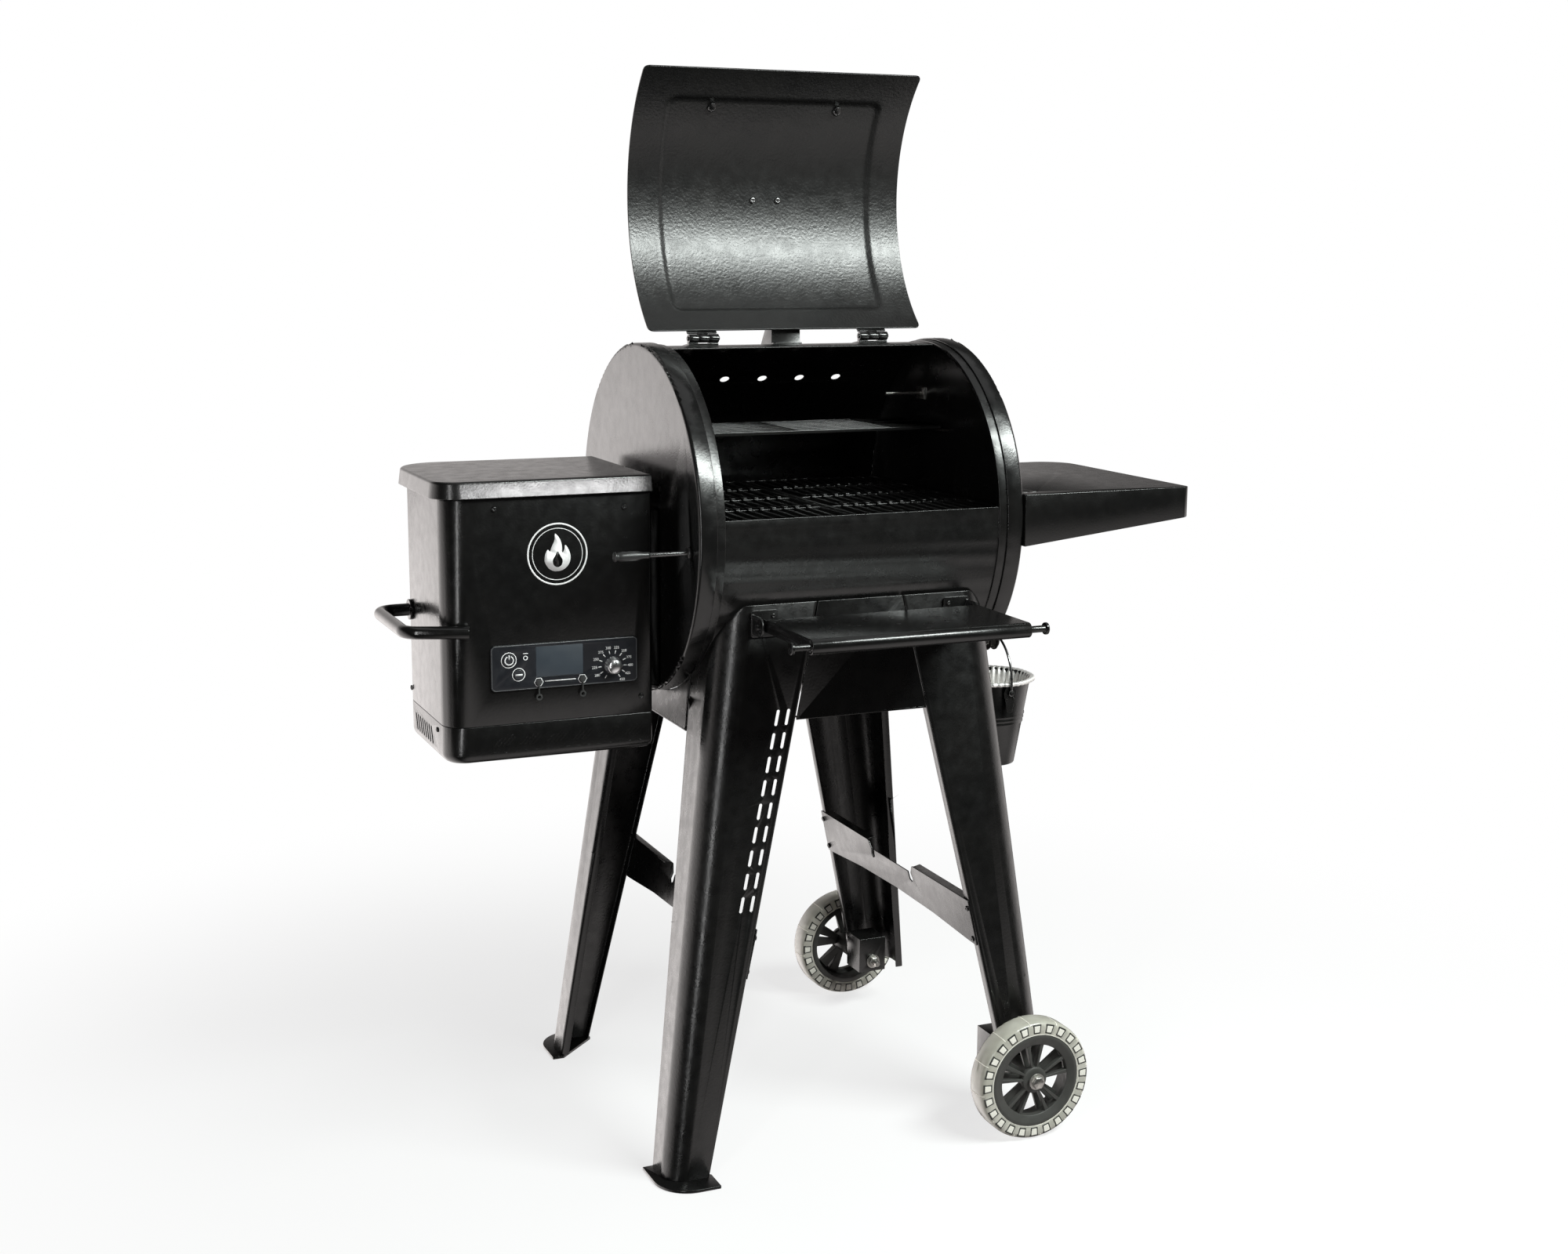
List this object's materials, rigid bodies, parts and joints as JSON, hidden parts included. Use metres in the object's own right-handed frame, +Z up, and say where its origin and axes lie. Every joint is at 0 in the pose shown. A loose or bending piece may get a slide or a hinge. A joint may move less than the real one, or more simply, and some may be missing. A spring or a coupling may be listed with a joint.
{
  "type": "pellet smoker grill",
  "caption": "Barrel pellet grill on four splayed legs with a hinged hood, side hopper with a dial panel, folding front tray, side shelf, grease bucket and rear axle wheels.",
  "frame": {"origin": "on the floor, under the middle of the whole grill's bounding box", "axes": "+Z up, -Y towards the cook, +X along the barrel away from the hopper"},
  "size_m": [1.1065, 0.748, 1.4751],
  "materials": {
    "enamel": "black powder coat with a fine hammered texture, semi-gloss",
    "chamber_steel": "dull heat-darkened steel",
    "hinge_steel": "black, satin",
    "bright_steel": "plain drawn steel",
    "grate_iron": "glossy black porcelain coat",
    "hub_plastic": "dark grey moulded plastic",
    "clear_tyre": "frosted, slightly see-through cream",
    "motor_grey": "plain grey housing",
    "panel_plastic": "smooth overlay with white outlines",
    "display_glass": "dark blue-grey display, switched off",
    "button_plastic": "black moulded plastic",
    "knob_chrome": "polished",
    "circuit_board": "green solder mask",
    "plug_rubber": "soft black",
    "bucket_steel": "black outside, bright galvanised inside"
  },
  "bodies": {
    "stand": {"barrel_shell": "enamel", "left_end_cap": "enamel", "right_end_cap": "enamel", "barrel_hinge_leaves": "hinge_steel", "lid_stop": "enamel", "front_left_leg": "enamel", "rear_left_leg": "enamel", "front_right_leg": "enamel", "rear_right_leg": "enamel", "aprons": "enamel", "side_panels": "enamel", "leg_braces": "enamel", "leg_feet": "enamel", "wheel_brackets": "enamel", "axle_bolts": "bright_steel", "hopper_shell": "enamel", "hopper_base": "enamel", "hopper_lid_hinge": "hinge_steel", "hopper_handle": "enamel", "hopper_neck": "enamel", "pellet_bin": "chamber_steel", "pellet_guard": "bright_steel", "auger_tube": "chamber_steel", "auger_motor": "motor_grey", "fan_housing": "motor_grey", "burn_pot": "chamber_steel", "control_panel": "panel_plastic", "display_window": "display_glass", "control_board": "circuit_board", "probe_plugs": "plug_rubber", "power_inlet": "button_plastic", "heat_deflector": "chamber_steel", "left_grate": "grate_iron", "right_grate": "grate_iron", "chamber_rails": "chamber_steel", "upper_rack": "grate_iron", "chamber_probe": "bright_steel", "side_shelf": "enamel", "shelf_brackets": "enamel", "drain_spout": "chamber_steel", "fasteners": "hinge_steel"},
    "hood": {"lid": "enamel", "lid_handle": "enamel", "lid_hinge_leaves": "hinge_steel"},
    "hopper_cover": {"hopper_lid": "enamel"},
    "broiler": {"broiler_slide": "chamber_steel", "broiler_rod": "bright_steel", "broiler_grip": "button_plastic"},
    "dial": {"temperature_knob": "knob_chrome"},
    "power_key": {"power_button": "button_plastic"},
    "prime_key": {"prime_button": "button_plastic"},
    "front_roller": {"front_wheel": "hub_plastic", "front_tyre": "clear_tyre"},
    "rear_roller": {"rear_wheel": "hub_plastic", "rear_tyre": "clear_tyre"},
    "tray": {"front_shelf": "enamel"},
    "auger": {"auger_screw": "chamber_steel"},
    "fan": {"fan_impeller": "hub_plastic"},
    "bail": {"bucket_bail": "bright_steel"},
    "bucket": {"grease_bucket": "bucket_steel"}
  },
  "joints": [
    {"name": "lid_hinge", "type": "hinge", "parent": "stand", "child": "hood", "pos_m": [0.04525, 0.061, 1.1075], "axis": [1, 0, 0], "range_deg": [0, 136.8]},
    {"name": "hopper_lid_hinge", "type": "hinge", "parent": "stand", "child": "hopper_cover", "pos_m": [-0.35475, 0.17, 0.914], "axis": [-1, 0, 0], "range_deg": [0, 80]},
    {"name": "broiler_pull", "type": "slide", "parent": "stand", "child": "broiler", "axis": [-1, 0, 0], "range_m": [-0.045, 0.055]},
    {"name": "temperature_turn", "type": "hinge", "parent": "stand", "child": "dial", "pos_m": [-0.27275, -0.092, 0.686], "axis": [0, -1, 0], "range_deg": [-135, 135]},
    {"name": "power_press", "type": "slide", "parent": "stand", "child": "power_key", "axis": [0, 1, 0], "range_m": [0, 0.0015], "stiffness_N_per_m": 300, "springref_m": -0.002},
    {"name": "prime_press", "type": "slide", "parent": "stand", "child": "prime_key", "axis": [0, 1, 0], "range_m": [0, 0.0015], "stiffness_N_per_m": 300, "springref_m": -0.002},
    {"name": "front_wheel_spin", "type": "hinge", "parent": "stand", "child": "front_roller", "pos_m": [0.27725, -0.269, 0.0867], "axis": [0, 1, 0], "continuous": true},
    {"name": "rear_wheel_spin", "type": "hinge", "parent": "stand", "child": "rear_roller", "pos_m": [0.27725, 0.345, 0.0867], "axis": [0, 1, 0], "continuous": true},
    {"name": "front_shelf_fold", "type": "hinge", "parent": "stand", "child": "tray", "pos_m": [0.04525, -0.212, 0.748], "axis": [1, 0, 0], "range_deg": [0, 90]},
    {"name": "auger_spin", "type": "hinge", "parent": "stand", "child": "auger", "pos_m": [-0.22475, 0.038, 0.715], "axis": [1, 0, 0], "continuous": true},
    {"name": "fan_spin", "type": "hinge", "parent": "stand", "child": "fan", "pos_m": [-0.31475, 0.038, 0.66], "axis": [0, 0, 1], "continuous": true},
    {"name": "bail_swing", "type": "hinge", "parent": "stand", "child": "bail", "pos_m": [0.34625, -0.002, 0.66], "axis": [1, 0, 0], "range_deg": [-20, 20]},
    {"name": "bucket_tilt", "type": "hinge", "parent": "bail", "child": "bucket", "pos_m": [0.34625, -0.002, 0.592], "axis": [0, 1, 0], "range_deg": [-25, 25]}
  ]
}
